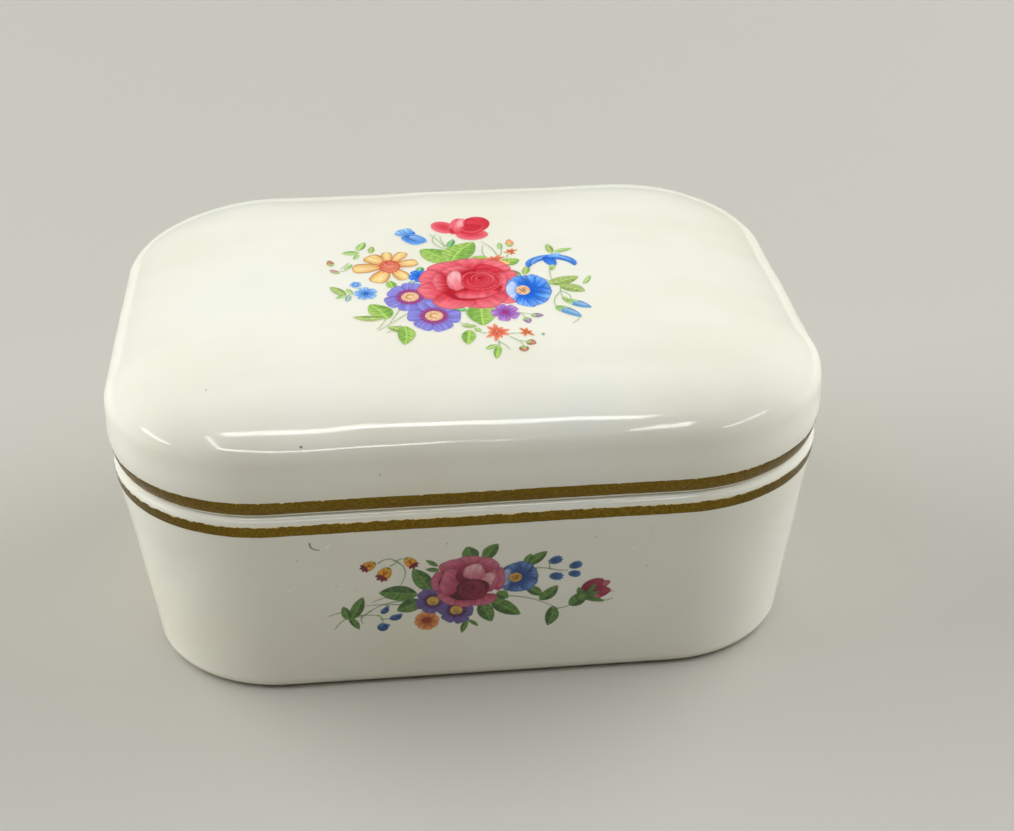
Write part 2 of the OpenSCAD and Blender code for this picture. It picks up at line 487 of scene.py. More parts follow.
FLAME = palette("c8402c", "e88460", "f6bf98")
SLATE = palette("4f86b8", "78a5cc", "a9c6de")
PLUM = palette("7a2f8c", "a257ae", "bb93d0")


# ---------------------------------------------------------------- flowers
def rose(p, at, size, tone, shapes):
    """A full rose, painted back to front. shapes are its petals: (x, y, rx, ry, turn, tones, lit side)."""
    deep, mid, light, pale = tone.deep, tone.mid, tone.light, tone.pale
    shade = {"d": deep, "m": mid, "l": light, "p": pale, "k": deep * 0.72}
    for k, (dx, dy, rx, ry, turn, pair, side) in enumerate(shapes):
        spot = (at[0] + dx * size, at[1] + dy * size)
        part, u, v = p.around(spot, max(rx, ry) * size * 1.15)
        x, y = turned(u, v, spot, rx * size, ry * size, turn)
        phi = np.arctan2(y, x)
        rho = np.hypot(x, y) / (1 + 0.05 * np.sin(3 * phi + k) + 0.03 * np.sin(5 * phi + 2 * k))
        d = (1 - rho) * min(rx, ry) * size
        way = math.radians(side)
        lit = x * math.cos(way - math.radians(turn)) + y * math.sin(way - math.radians(turn))
        lines = grain(x * math.sin(way) * 5 - y * math.cos(way) * 5, lit * 1.2, 1.7, k)
        colour = blend(shade[pair[0]], shade[pair[1]], smooth(lit + 0.10 * lines, -0.75, 0.85))
        colour = blend(colour, shade["k"], 0.45 * np.exp(-np.maximum(d, 0) / (0.022 * size)))
        colour = colour * (1 + 0.05 * lines[..., None])
        p.lay(part, smooth(d, -0.07, 0.1), np.clip(colour, 0, 1))


HEART_CURLS = (          # radius, start, span and thickness of each curled petal
    (0.98, 250, 200, 0.13), (0.92, 95, 120, 0.09), (0.8, 205, 150, 0.12), (0.76, 330, 150, 0.09),
    (0.62, 160, 150, 0.11), (0.6, 300, 160, 0.09), (0.46, 215, 190, 0.1), (0.42, 30, 150, 0.07),
    (0.28, 180, 200, 0.08), (0.14, 20, 260, 0.06),
)


def heart(p, at, size, tone, turn=0.0):
    """The rose's cup: close curled petals, each dark inside and light along its lip."""
    deep, mid, light = tone.deep, tone.mid, tone.light
    for k, (r, start, span, thick) in enumerate(HEART_CURLS):
        fold(p, (at[0] + 0.02 * size * (k % 3 - 1), at[1] + (1 - r) * 0.30 * size), r * size * 0.92,
             r * size, start + turn, start + span + turn, thick * size, deep,
             mid * 0.4 + light * 0.6 if k % 2 == 0 else light, turn=8, seed=50 + k, opacity=0.85)
    disc(p, (at[0], at[1] + 0.30 * size), 0.10 * size, 0.09 * size, deep * 0.7, deep, seed=6)


ROSE_OUTER = (
    (0.1, 0.88, 0.55, 0.3, 0, "ml", 90), (-0.5, 0.7, 0.42, 0.36, 25, "ml", 120),
    (0.6, 0.62, 0.4, 0.4, -30, "ml", 50), (-0.8, 0.28, 0.34, 0.42, 10, "ml", 150),
    (0.86, 0.1, 0.3, 0.46, -6, "ml", 10), (-0.82, -0.22, 0.36, 0.4, -20, "ml", 190),
    (0.74, -0.52, 0.4, 0.42, 20, "ml", 310), (0.24, -0.72, 0.52, 0.38, 5, "ml", 290),
    (-0.42, -0.72, 0.48, 0.36, -10, "ml", 250),
)
ROSE_INNER = (
    (-0.02, -0.1, 0.72, 0.62, 10, "dd", 90), (0.46, 0.52, 0.4, 0.3, -35, "dm", 60),
    (-0.26, 0.56, 0.36, 0.28, 30, "dl", 110), (-0.62, 0.1, 0.22, 0.46, 8, "dl", 170),
    (-0.3, 0.14, 0.21, 0.48, 2, "lp", 100), (0.66, 0.0, 0.2, 0.52, -8, "dl", 0),
    (0.2, -0.34, 0.52, 0.26, 8, "dm", 270), (0.1, -0.46, 0.5, 0.2, 4, "ml", 265),
    (0.22, 0.14, 0.44, 0.5, 6, "md", 90),
)
CRIMSON_OUTER = (
    (0.1, 0.8, 0.52, 0.28, 0, "ml", 90), (-0.48, 0.66, 0.42, 0.3, 20, "ml", 110),
    (0.62, 0.62, 0.38, 0.32, -30, "ml", 60), (-0.86, 0.06, 0.28, 0.42, 5, "ml", 170),
    (0.92, 0.06, 0.24, 0.48, -6, "ml", 10), (-0.5, -0.6, 0.46, 0.3, -20, "ml", 220),
    (0.4, -0.74, 0.52, 0.26, 5, "ml", 290), (-0.1, -0.82, 0.34, 0.2, 0, "ml", 260),
)
CRIMSON_INNER = (
    (-0.02, -0.06, 0.84, 0.66, 5, "kd", 90), (-0.5, 0.06, 0.36, 0.58, -14, "ml", 160),
    (0.12, 0.3, 0.5, 0.44, 0, "dm", 60), (0.7, 0.0, 0.22, 0.5, -14, "ml", 30),
    (0.2, 0.4, 0.34, 0.34, -8, "lp", 100), (0.58, 0.02, 0.22, 0.4, -24, "lp", 30),
    (0.16, -0.3, 0.5, 0.44, 0, "dk", 90),
)


def small_rose(p):
    """The rose at the back of the bouquet, seen from its side, in tall loose petals."""
    deep, mid, light, pale = ROSE.deep, ROSE.mid, ROSE.light, ROSE.pale
    disc(p, (-1.1, 14.2), 1.9, 2.8, mid, light, turn=24, light=light, light_at=200, seed=21)
    disc(p, (4.3, 14.8), 2.5, 3.4, mid, mid * 0.7 + light * 0.3, turn=-12, light=deep * 0.5 + mid * 0.5,
         light_at=20, seed=22)
    disc(p, (3.5, 10.6), 2.7, 2.3, mid, light, turn=-6, light=light, light_at=270, seed=23)
    disc(p, (3.2, 13.0), 2.5, 2.1, deep * 0.4 + mid * 0.6, mid, light=deep * 0.7 + mid * 0.3, light_at=60,
         seed=24)
    disc(p, (1.2, 14.4), 1.3, 3.4, light, mid, turn=-8, light=light, light_at=150, seed=25)
    disc(p, (1.9, 15.6), 0.8, 2.1, pale, light, turn=-12, seed=26)
    fold(p, (3.6, 14.6), 1.9, 2.6, 200, 350, 0.5, deep, light, seed=27, opacity=0.7)
    fold(p, (3.8, 15.2), 1.2, 1.9, 20, 230, 0.4, deep, mid, seed=28, opacity=0.7)
    disc(p, (0.2, 12.4), 0.4, 1.4, deep, mid, seed=29, opacity=0.7)


def daisy(p, at, size, tone, start=20, count=6, seed=1):
    """An auricula: round petals, wine-red throat and a stippled yellow eye."""
    for k in range(count):
        a = start + 360 * k / count
        petal(p, at, a, size * (1 + 0.05 * math.sin(k * 2.1 + seed)), size * 0.84, tone.mid, tone.light,
              rim=tone.deep, rim_w=0.05, rim_s=0.6, narrow=0.85, blunt=0.26, turn=0.8, streak=0.10,
              seed=seed * 10 + k)
    disc(p, at, size * 0.56, size * 0.54, tone.heart, tone.heart * 0.6 + tone.mid * 0.4, soft=0.5,
         mottle=0.14, opacity=0.85)
    for k in range(count * 3):
        a = start + 360 * (k + 0.5) / (count * 3)
        petal(p, at, a, size * (0.72 if k % 2 else 0.62), size * 0.10, tone.heart, tone.heart, narrow=0.3,
              blunt=0.9, soft=0.1, streak=0, seed=k, opacity=0.6)
    disc(p, at, size * 0.35, size * 0.33, tone.eye, tone.eye * 0.93, seed=seed)
    fold(p, at, size * 0.15, size * 0.14, 0, 330, size * 0.04, rgb("a8743c"), rgb("a8743c"), opacity=0.7)
    dots(p, at, size * 0.29, 9, size * 0.035, tone.eye * 0.78, seed=seed + 1, ring=0.7, opacity=0.7)
    petal(p, (at[0], at[1] - size * 0.33), 90, size * 0.36, size * 0.26, tone.eye * 0.62, tone.eye * 0.8,
          soft=0.2, opacity=tone.sunk)


def anemone(p, at, size, tone, eye=(-0.25, 0.05), seed=1, count=9):
    """A ruffled blue anemone with a deep ring round a stippled eye."""
    for k in range(count):
        a = 12 + 360 * k / count
        petal(p, at, a, size * (1.02 + 0.05 * math.sin(k * 2.3)), size * 0.92, tone.deep,
              tone.light * 0.6 + tone.mid * 0.4, rim=tone.deep * 0.8, rim_w=tone.rim, rim_s=0.85,
              narrow=0.75, blunt=0.26, turn=1.5, streak=0.16, wavy=0.03, seed=seed * 20 + k)
    middle = (at[0] + eye[0] * size, at[1] + eye[1] * size)
    for k, a in enumerate((140, 172, 205)):
        petal(p, middle, a, size * 0.74, size * 0.56, tone.mid, tone.pale, rim=tone.light, rim_w=0.06,
              rim_s=0.6, blunt=0.3, turn=0.35, streak=0.10, seed=90 + k)
    disc(p, (middle[0] + 0.14 * size, middle[1] - 0.06 * size), size * 0.50, size * 0.52, tone.deep,
         tone.deep * 0.5 + tone.mid * 0.5, soft=0.7, opacity=0.75, mottle=0.12)
    for k in range(30):
        a = 360 * k / 30
        if not 130 < a < 225:
            petal(p, middle, a, size * (0.86 if k % 2 else 0.70), size * 0.13, tone.deep, tone.deep,
                  narrow=0.3, blunt=0.9, soft=0.1, streak=0, opacity=0.5, seed=k)
    disc(p, middle, size * 0.33, size * 0.31, tone.eye, tone.eye * 0.93, seed=3)
    dots(p, middle, size * 0.26, 12, size * 0.045, tone.seeds, seed=5, ring=0.35, opacity=0.8)
    dots(p, middle, size * 0.12, 5, size * 0.05, tone.seeds * 0.8, seed=6, ring=0.2, opacity=0.9)


NARCISSUS_PETALS = (     # direction, length and width
    (183, 1.18, 0.62), (132, 1.02, 0.62), (95, 0.98, 0.36), (62, 1.05, 0.4), (15, 0.92, 0.5),
    (300, 0.98, 0.5), (244, 1.1, 0.6),
)


def narcissus(p, at, size):
    """A gold narcissus with brown-edged petals and a frilled coral cup."""
    brown = rgb("a8602f")
    for k, (a, reach, wide) in enumerate(NARCISSUS_PETALS):
        petal(p, at, a, size * reach, size * wide, EMBER.mid, EMBER.pale, rim=brown, rim_w=0.11, rim_s=0.9,
              narrow=0.9, blunt=0.32, turn=0.5, streak=0.06, wavy=0.03, seed=40 + k)
        petal(p, at, a + 5, size * reach * 0.85, size * wide * 0.42, EMBER.light, rgb("fbeec4"),
              narrow=0.9, blunt=0.5, opacity=0.45, soft=0.4, seed=41 + k)
    for k in range(18):
        petal(p, at, 360 * k / 18, size * 0.52, size * 0.10, EMBER.deep, EMBER.mid, narrow=0.3, blunt=0.8,
              opacity=0.55, streak=0, seed=k)
    disc(p, at, size * 0.33, size * 0.40, rgb("e58a70"), rgb("cc5c44"), seed=8, mottle=0.10)
    fold(p, at, size * 0.22, size * 0.28, 200, 380, size * 0.05, rgb("c8503c"), rgb("f2ab90"), seed=9)
    fold(p, at, size * 0.13, size * 0.17, 30, 200, size * 0.04, rgb("bc4a3a"), rgb("f0a890"), seed=9)
    dots(p, (at[0], at[1] + size * 0.26), size * 0.16, 5, size * 0.04, rgb("c03c30"), seed=8, opacity=0.7)


def star(p, at, size, tone, count=9, seed=1):
    """A small pointed flower."""
    for k in range(count):
        a = 15 + 360 * k / count + 8 * math.sin(k * 3.1 + seed)
        petal(p, at, a, size * (0.9 + 0.2 * math.sin(k * 2 + seed)), size * 0.36, tone.deep,
              tone.mid * 0.4 + tone.light * 0.6, rim=tone.mid, rim_w=0.12, rim_s=0.6, narrow=0.6,
              blunt=0.7, soft=0.12, streak=0.12, seed=seed + k)
    disc(p, at, size * 0.22, size * 0.2, tone.deep, tone.deep * 0.9 + tone.mid * 0.1, mottle=0.2)
    dots(p, at, size * 0.16, 5, size * 0.05, tone.light, seed=seed, ring=0.7)


def five_petals(p, at, size, tone, eye, seed=1):
    """A forget-me-not or other small five-petalled flower."""
    for k in range(5):
        petal(p, at, 18 + 72 * k + seed * 11, size, size * 0.86, tone.deep, tone.light, rim=tone.mid,
              rim_w=0.09, rim_s=0.7, blunt=0.3, soft=0.12, streak=0.12, seed=seed + k)
    disc(p, at, size * 0.20, size * 0.2, eye, eye, soft=0.1)


def bud(p, at, angle, length, width, tone, calyx=LEAF_PALE, seed=1):
    """A bud: its petals closed to a point, in a green calyx."""
    petal(p, at, angle, length, width, tone.deep, tone.mid, rim=tone.deep, rim_w=0.15, rim_s=0.5,
          narrow=0.5, blunt=0.7, streak=0.12, seed=seed)
    petal(p, at, angle + 6, length * 0.8, width * 0.4, tone.mid, tone.light, narrow=0.6, blunt=0.7,
          opacity=0.8, soft=0.2, seed=seed + 1)
    for turn in (-28, 28):
        petal(p, at, angle + turn, length * 0.42, width * 0.42, calyx[1], calyx[0], narrow=0.5, blunt=0.8,
              soft=0.12, seed=seed + 2)


def bell(p, at, angle, size, outer_tone, lip, seed=1):
    """A small hanging bell with a turned lip."""
    petal(p, at, angle, size, size * 0.9, outer_tone.mid, outer_tone.light, rim=outer_tone.deep, rim_w=0.07,
          rim_s=0.7, narrow=0.5, blunt=0.2, streak=0.12, seed=seed)
    a = math.radians(angle)
    mouth = (at[0] + math.cos(a) * size * 0.86, at[1] + math.sin(a) * size * 0.86)
    for turn in (-20, 0, 20):
        petal(p, mouth, angle + 180 + turn, size * 0.62, size * 0.10, outer_tone.deep, outer_tone.deep,
              soft=0.08, streak=0, opacity=0.6, seed=seed)
    for turn in (-62, -22, 22, 62):
        petal(p, mouth, angle + turn, size * 0.50, size * 0.26, lip, lip * 1.1, narrow=0.5, blunt=0.6,
              soft=0.1, seed=seed + 1)
    petal(p, at, angle, size * 0.22, size * 0.26, STEM_DARK, LEAF_DEEP[0], narrow=0.4, blunt=0.5,
          soft=0.1, seed=seed + 2)


# ---------------------------------------------------------------- the two prints
def lid_stems(p):
    for points in (
        ((-0.9, 5), (-0.6, 7), (0, 9)), ((-1.6, 5.4), (-4.2, 8), (-2.6, 11.4)),
        ((-1.4, 6), (-2.2, 9), (-3.6, 11.6)), ((-1, 6), (-1.9, 8), (-1.9, 10.6)),
        ((5.2, 0.5), (4.2, 3), (4.9, 6)), ((6.8, 2), (6.6, 4.6), (4.8, 7.4)),
        ((7, 0.6), (8, 3), (7.8, 5.6)), ((8.4, 1), (8.6, 2), (9.2, 3.4)),
        ((15, -3.6), (14.4, -6), (14.6, -8.6)), ((15.9, 0.6), (15.7, 1.8), (15.6, 3)),
        ((13.6, -8.6), (15, -10), (16.4, -11)), ((15.6, -12), (15.2, -15), (15.9, -16.6)),
        ((15.3, -13.4), (13.6, -16), (14.2, -18.6)), ((16.8, -20.8), (18.2, -22), (16, -24.2)),
        ((15.4, -13), (17.2, -14), (16.6, -16.4)), ((8, -20.2), (8.8, -20.2), (9, -21.6)),
        ((8.2, -20), (9.4, -20.2), (10.2, -20.8)), ((-9.6, -16.4), (-10.6, -19.5), (-11.8, -22.4)),
        ((-8.8, -18.6), (-10.6, -21), (-13.2, -23.6)), ((-11.9, -19.4), (-12.4, -21.6), (-13.4, -23.2)),
        ((-9.9, -22.4), (-11, -23.6), (-12, -24.4)), ((-17.2, 1.2), (-18, 0.2), (-18.6, -1)),
        ((-17.6, -1.6), (-18.2, -1.8), (-19, -1.9)), ((-16.4, 5.6), (-15.9, 4.4), (-16.2, 3)),
        ((-16, -8.4), (-15.6, -8.8), (-15.2, -9.2)), ((-17.8, -10.8), (-16.8, -10.6), (-16, -10.5)),
        ((0.2, -22.8), (-0.6, -23), (-0.9, -22.4)), ((2.6, -25.9), (1.4, -25.6), (1.1, -24.2)),
        ((6.2, -27.3), (7.9, -28.6), (7.9, -30)), ((7.6, -28.4), (8.2, -28.8), (8.8, -29)),
        ((4.4, -28.2), (4.3, -29.4), (4.2, -30.4)), ((4.5, -28.6), (5.4, -29.2), (5.8, -30.6)),
        ((6.4, -26.3), (7, -26.4), (7.8, -26.2)), ((4, -29.2), (3.6, -29.6), (3, -29.6)),
    ):
        stem(p, points, 0.27, STEM, opacity=0.75)


def lid_leaves(p):
    for foot, angle, length, width, tone, bend, veins, *teeth in (
        ((-0.6, -0.6), 128, 7.8, 5.2, LEAF, 0.5, 8, 0.07),
        ((-0.8, -0.4), 62, 9, 5.4, LEAF, -0.9, 9, 0.09), ((2.4, 0), 30, 3.2, 2.6, LEAF, 0.2, 5, 0.1),
        ((-0.8, 5.8), 72, 3.4, 1.3, LEAF_COOL, 0, 4), ((-15.7, 6), 72, 3.8, 1.5, LEAF_PALE, 0.3, 4),
        ((-15.4, 5), 172, 3, 1.7, LEAF_PALE, 0.3, 4), ((-13.6, 4.8), 84, 2.9, 1.1, LEAF_OLIVE, 0, 4),
        ((-15.6, 4.6), 250, 2.2, 0.9, LEAF_PALE, 0, 3), ((-18, -1.4), 60, 2.6, 1, LEAF_PALE, 0.3, 3),
        ((7.6, 3.9), 88, 2.9, 0.9, LEAF_PALE, 0, 3), ((7, -1.6), 24, 3.6, 3, LEAF, 0.2, 5),
        ((6.8, -2.4), 330, 2.2, 1.3, LEAF_PALE, 0.2, 3), ((15.7, 1.4), 94, 4, 1.3, LEAF_OLIVE, 0.3, 4),
        ((16.2, 1.8), 22, 3.4, 1.3, LEAF_PALE, -0.4, 4), ((10.5, -6.4), 76, 3.6, 1.3, LEAF_OLIVE, 0, 4),
        ((9.8, -7), 112, 3, 1.2, LEAF_COOL, 0, 4), ((13.8, -10.2), 24, 5.6, 2.9, LEAF_OLIVE, 0.5, 6),
        ((15.6, -10.8), 322, 4.6, 2.7, LEAF_OLIVE, -0.5, 6),
        ((19.4, -11), 66, 3.6, 0.9, LEAF_PALE, 0.3, 3), ((15.6, -15), 286, 2.4, 0.9, LEAF_OLIVE, 0, 3),
        ((2.8, -15.8), 268, 8, 4.9, LEAF, 0.2, 9, 0.12), ((-2.4, -17), 330, 3.4, 1.8, LEAF_COOL, 0, 4),
        ((-10.5, -9.2), 100, 3.1, 1.7, LEAF, 0.2, 4), ((-6, -3.4), 84, 2, 1.4, LEAF_COOL, 0, 3),
        ((-7.2, -6.6), 250, 2.4, 1.2, LEAF_TEAL, 0, 3), ((-18, -11.2), 122, 4.4, 1.7, LEAF_OLIVE, 0.5, 4),
        ((-16.9, -10.6), 112, 2.3, 0.9, LEAF_PALE, 0, 3), ((-17.4, -10.8), 262, 2.4, 1, LEAF_TEAL, 0, 3),
        ((-17.9, -10.8), 214, 2, 0.9, LEAF_PALE, 0, 3), ((-11.7, -20), 114, 6.2, 3.6, LEAF, 0.4, 6),
        ((-12.2, -19.6), 168, 4.9, 1.9, LEAF_OLIVE, -1.6, 5),
        ((-11.8, -22.6), 322, 4.2, 1.8, LEAF_OLIVE, -1, 5), ((-9.4, -22.6), 268, 5.4, 2.7, LEAF, -1.1, 6),
        ((0.3, -24.8), 262, 4, 2.3, LEAF, 0, 5, 0.12), ((-0.8, -23.4), 350, 2.4, 1.1, LEAF_OLIVE, 0.3, 3),
        ((1.2, -24.2), 300, 1.6, 0.9, LEAF_PALE, 0, 3), ((4.3, -29.4), 258, 3.2, 1.2, LEAF, 0.2, 4),
        ((4, -29.2), 208, 2, 1, LEAF_PALE, 0, 3), ((11.2, -26.6), 262, 0.9, 0.45, LEAF_COOL, 0, 2),
    ):
        leaf(p, foot, angle, length, width, *tone, bend, veins, *teeth,
             seed=int(abs(foot[0] * 7) + length * 3))


def lid_small_flowers(p):
    p.stretch(-7.2, 1.25)
    five_petals(p, (-16.3, -7.2), 0.95, SKY, rgb("c8d8ec"), seed=2)
    p.stretch(-10.5, 1.2)
    five_petals(p, (-14.8, -10.5), 1.85, SKY, rgb("2c63b8"), seed=1)
    p.stretch()
    brown = palette("a0694e", "bb8468", "d3a68c")
    mauve = palette("8d6f8c", "a184a2", "bda7bf")
    for at, angle, length, width, tone in (
        ((-20, 0.4), 100, 2.4, 1.2, brown),
        ((-18.9, -2.6), 128, 2.2, 1.1, palette(mauve.deep, brown.light, brown.light)),
        ((10, -21), -8, 1.9, 1.5, mauve), ((9.1, -21.7), 280, 1.9, 1.3, mauve),
        ((8.5, -28.7), 330, 1.5, 1.5, brown), ((7.9, -29.9), 270, 1.4, 1.5, brown),
        ((9.3, 4.9), 88, 3, 1.4, palette("d98a5c", "e8a878", "f3cfa0")),
        ((14.2, -18.2), 308, 5.4, 2, SLATE), ((16, -16.2), 316, 4.8, 2, SLATE),
    ):
        bud(p, at, angle, length, width, tone, seed=int(length * 5))
    p.stretch(3.0, 1.5)
    star(p, (9.3, 3.0), 1.15, EMBER, count=6, seed=2)
    p.stretch(0.3, 1.35)
    star(p, (6.4, 0.2), 1.75, FLAME, count=7, seed=1)
    p.stretch()
    petal(p, (6.8, -0.2), 318, 2.4, 1.3, EMBER.light, EMBER.pale, rim=EMBER.mid, seed=6)
    p.stretch(-25.8, 1.2)
    star(p, (4.4, -25.8), 2.15, FLAME, count=9, seed=3)
    star(p, (8.7, -26.1), 1.35, EMBER, count=6, seed=4)
    p.stretch()


def lid_trumpets(p):
    # left: two overlapping bells
    petal(p, (-6.0, 12.0), 158, 3.4, 2.9, SKY.deep, SKY.light, rim=SKY.mid, narrow=0.4, blunt=0.3,
          streak=0.16, seed=4)
    petal(p, (-7.0, 12.4), 110, 2.3, 2.3, SKY.mid, SKY.light, rim=SKY.mid, narrow=0.4, blunt=0.3,
          streak=0.16, seed=5)
    petal(p, (-7.6, 11.9), 302, 4.9, 3.6, SKY.deep, SKY.mid, rim=SKY.light, narrow=0.35, blunt=0.3,
          streak=0.14, seed=6)
    petal(p, (-6.9, 11.2), 318, 3.2, 1.7, SKY.light, SKY.mid, narrow=0.5, blunt=0.4, streak=0.16,
          opacity=0.8, seed=7)
    # right: an open one in side view, drooping
    fold(p, (15.2, -3.4), 3.7, 3.4, 352, 546, 1.05, SKY.deep, SKY.mid, seed=8)
    fold(p, (15.4, -3.2), 3.2, 3.0, 20, 170, 0.75, BLUE.deep, SKY.light, seed=9, opacity=0.8)
    petal(p, (14.8, 0.4), 280, 4.4, 2.1, BLUE.deep, SKY.mid, rim=SKY.deep, narrow=0.35, blunt=0.6,
          streak=0.12, seed=12)
    petal(p, (15.0, 0.0), 30, 2.6, 1.2, BLUE.mid, SKY.light, narrow=0.5, blunt=0.5, streak=0.12, seed=11)
    petal(p, (15.4, -3.2), 258, 2.2, 1.0, LEAF_PALE[0], LEAF_PALE[1], narrow=0.5, blunt=0.7, seed=13)


def lid_bouquet(step=0.1):
    p = Painting((-21.5, -33.0), (21.5, 19.0), step)
    lid_stems(p)
    lid_leaves(p)
    lid_small_flowers(p)
    lid_trumpets(p)
    small_rose(p)
    p.stretch(-0.8, 1.16)
    narcissus(p, (-10.7, -0.9), 5.1)
    p.stretch(-5.0, 1.4)
    five_petals(p, (-6.2, -5.0), 1.7, palette(BLUE.deep, BLUE.deep, BLUE.mid), BLUE.deep, seed=3)
    p.stretch(-12.6, 1.32)
    daisy(p, (-8.0, -12.6), 3.9, VIOLET, start=22, count=6, seed=1)
    p.stretch(-19.8, 1.30)
    daisy(p, (-4.7, -19.8), 3.9, VIOLET, start=-8, count=6, seed=2)
    p.stretch(-19.7, 1.35)
    five_petals(p, (6.2, -19.7), 2.2, PLUM, rgb("b03070"), seed=2)
    p.stretch(-8.8, 1.20)
    rose(p, (1.6, -8.8), 7.0, ROSE, ROSE_OUTER)
    rose(p, (1.6, -8.8), 7.0, ROSE, ROSE_INNER)
    heart(p, (3.3, -8.0), 3.3, ROSE)
    p.stretch(-12.1, 1.62)
    anemone(p, (10.6, -12.1), 3.45, BLUE, eye=(-0.28, 0.0))
    p.stretch()
    return p


def spray_stems(p):
    for points in (
        ((-15.2, 24.6), (-13.4, 26.4), (-12, 24.2)), ((-12.9, 25), (-10.2, 23.6), (-12, 20.2)),
        ((-13.4, 24), (-12.8, 24.4), (-12.3, 24.6)), ((-12.5, 24.8), (-12.2, 25.3), (-11.5, 25.3)),
        ((-9.6, 16.6), (-13, 17.4), (-16, 16.6), (-18, 14)), ((-11.6, 18), (-14.4, 18.2), (-16.4, 17)),
        ((-12, 16.2), (-15, 16.6), (-17.2, 16.4)), ((-16.6, 15.4), (-18.4, 14), (-20.2, 14)),
        ((-20, 14.2), (-21.4, 13.6), (-22.2, 12)), ((-20.4, 15.3), (-21.6, 15.4), (-23, 14.7)),
        ((-19.6, 14.4), (-17, 14.8), (-15.4, 14.2)), ((-15.6, 14.4), (-14.8, 13.8), (-15, 12.6)),
        ((-18, 14.6), (-18.4, 13.4), (-17.9, 12.9)), ((-15.2, 13.6), (-14.6, 13.4), (-13.8, 13.6)),
        ((1.8, 16.6), (5.6, 17), (9.6, 15.2), (11.6, 13.4)), ((11.2, 13.5), (12.2, 13.3), (14, 14.2)),
        ((18, 15), (18.8, 14), (20, 14.8)), ((7.8, 21.8), (9.4, 22), (10.6, 21.4)),
        ((10.2, 21.6), (11.6, 21), (13, 21)), ((10.3, 21.5), (10.3, 22.2), (10.2, 22.6)),
        ((-2, 12.8), (-1.8, 12.4), (-2.1, 12)), ((18.6, 16), (19.4, 16.2), (20.2, 16.2)),
    ):
        stem(p, points, 0.26, STEM_DARK, opacity=0.75)


def spray_leaves(p):
    for foot, angle, length, width, bend, veins in (
        ((-1.3, 24), 104, 3.1, 2.6, 0.2, 5), ((0.4, 24.2), 54, 3.7, 2.1, -0.5, 5),
        ((-7.7, 18.6), 118, 5.2, 2.7, 0.3, 6), ((-9.6, 18), 172, 5.8, 3, 0.3, 7),
        ((-8.8, 16.6), 202, 4.3, 2.6, 0.2, 6), ((-6.4, 23.4), 142, 2.3, 0.8, 0, 3),
        ((-6.2, 22.6), 170, 2.1, 0.9, 0, 3), ((2.4, 17.6), 320, 2.2, 1.8, 0.2, 4),
        ((0, 15.8), 290, 4.6, 2.5, 0.3, 6), ((1.4, 16.2), 322, 5.8, 2.6, 0.4, 7),
        ((6.8, 18.2), 322, 3.2, 1.7, -0.4, 5), ((6.5, 22.6), 36, 4.2, 1.8, 0.5, 5),
        ((6.6, 22.8), 66, 2.2, 1.2, 0, 4), ((8.8, 15.4), 44, 3.9, 1.9, 0.9, 5),
        ((11, 14), 258, 4.1, 2.1, -0.8, 5), ((-19.6, 14), 66, 4.6, 1.9, 0.3, 5),
        ((-20.1, 13.8), 104, 2.8, 1.5, 0.2, 4), ((-20, 14.2), 300, 2.9, 1.2, -0.9, 4),
        ((-2.2, 12.2), 252, 2.8, 1, 0.4, 3), ((-2.1, 12.2), 316, 2.2, 0.7, -1.6, 3),
        ((13.4, 13.9), 42, 3.6, 2.3, 0.3, 5),
    ):
        leaf(p, foot, angle, length, width, *LEAF_DEEP, bend, veins,
             seed=int(abs(foot[0] * 7) + length * 3))


